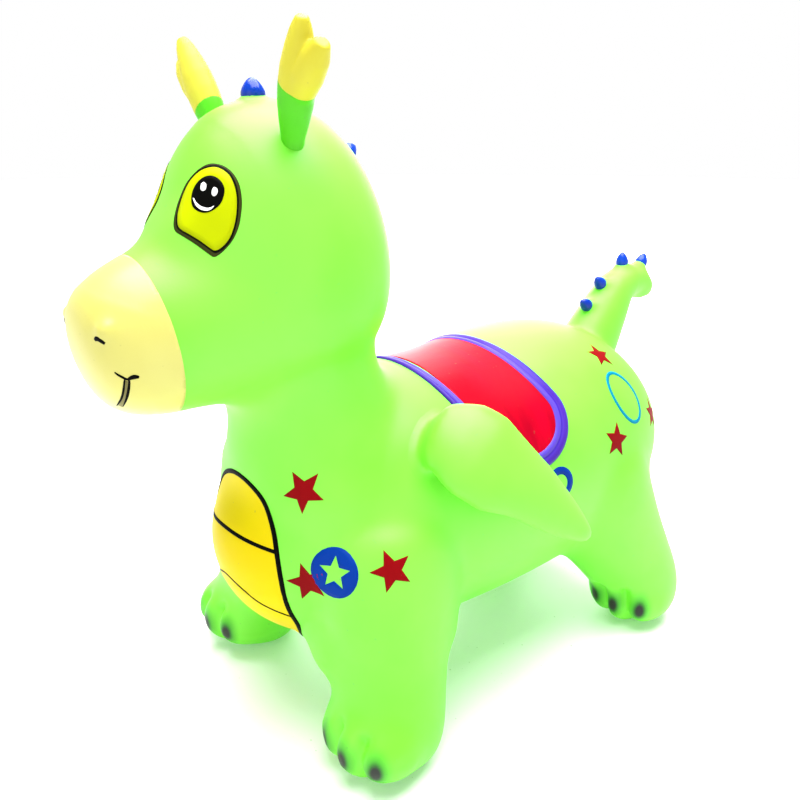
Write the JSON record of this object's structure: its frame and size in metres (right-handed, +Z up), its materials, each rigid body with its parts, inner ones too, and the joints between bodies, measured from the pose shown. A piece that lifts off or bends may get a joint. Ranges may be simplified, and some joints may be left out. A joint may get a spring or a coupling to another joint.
{
  "type": "animal hopper",
  "caption": "Inflatable ride-on hopper shaped as a young dragon, with horns to hold, a saddle band across the back, short wings, a hooked tail and an air plug under the belly.",
  "frame": {"origin": "centre of the object's box, on the floor under the soles", "axes": "+Z up, the animal faces -Y and its left side is +X"},
  "size_m": [0.3408, 0.6105, 0.533],
  "materials": {
    "green_skin": "satin lime-green soft PVC",
    "cream_coat": "satin cream-yellow sprayed paint on soft PVC",
    "yellow_coat": "satin yellow sprayed paint on soft PVC",
    "blue_coat": "glossy blue sprayed paint on soft PVC",
    "red_coat": "satin red sprayed paint on soft PVC",
    "purple_coat": "satin purple sprayed paint on a raised ribbed rim",
    "plug": "milky white moulded stopper"
  },
  "bodies": {
    "hopper": {"torso_skin": "green_skin", "head_skin": "green_skin", "front_left_leg": "green_skin", "front_right_leg": "green_skin", "hind_left_leg": "green_skin", "hind_right_leg": "green_skin", "front_left_foot": "green_skin", "front_right_foot": "green_skin", "hind_left_foot": "green_skin", "hind_right_foot": "green_skin", "muzzle_coat": "cream_coat", "belly_panel": "yellow_coat", "saddle_panel": "red_coat", "saddle_rim": "purple_coat", "crown_spike": "blue_coat", "nape_spike": "blue_coat", "valve_collar": "green_skin"},
    "horn_left": {"horn_left": "green_skin", "horn_tip_left": "yellow_coat"},
    "horn_right": {"horn_right": "green_skin", "horn_tip_right": "yellow_coat"},
    "wing_left": {"wing_left": "green_skin"},
    "wing_right": {"wing_right": "green_skin"},
    "tail": {"tail": "green_skin", "tail_spike_1": "blue_coat", "tail_spike_2": "blue_coat", "tail_spike_3": "blue_coat", "tail_spike_4": "blue_coat"},
    "air_plug": {"air_plug": "plug"}
  },
  "joints": [
    {"name": "horn_left_flex", "type": "hinge", "parent": "hopper", "child": "horn_left", "pos_m": [0.05212, -0.16479, 0.46146], "axis": [0.9181, 0, -0.3963], "range_deg": [-15, 15], "stiffness_Nm_per_rad": 1.2},
    {"name": "horn_right_flex", "type": "hinge", "parent": "hopper", "child": "horn_right", "pos_m": [-0.05212, -0.16479, 0.46146], "axis": [0.9181, 0, 0.3963], "range_deg": [-15, 15], "stiffness_Nm_per_rad": 1.2},
    {"name": "wing_left_flex", "type": "hinge", "parent": "hopper", "child": "wing_left", "pos_m": [0.09484, -0.07558, 0.25089], "axis": [0.2836, -0.6956, -0.66], "range_deg": [-8, 35], "stiffness_Nm_per_rad": 2},
    {"name": "wing_right_flex", "type": "hinge", "parent": "hopper", "child": "wing_right", "pos_m": [-0.09484, -0.07558, 0.25089], "axis": [0.2836, 0.6956, 0.66], "range_deg": [-8, 35], "stiffness_Nm_per_rad": 2},
    {"name": "tail_flex", "type": "hinge", "parent": "hopper", "child": "tail", "pos_m": [0, 0.21693, 0.25886], "axis": [1, 0, 0], "range_deg": [-15, 15], "stiffness_Nm_per_rad": 3},
    {"name": "plug_pull", "type": "slide", "parent": "hopper", "child": "air_plug", "axis": [0, 0, -1], "range_m": [0, 0.035]}
  ]
}
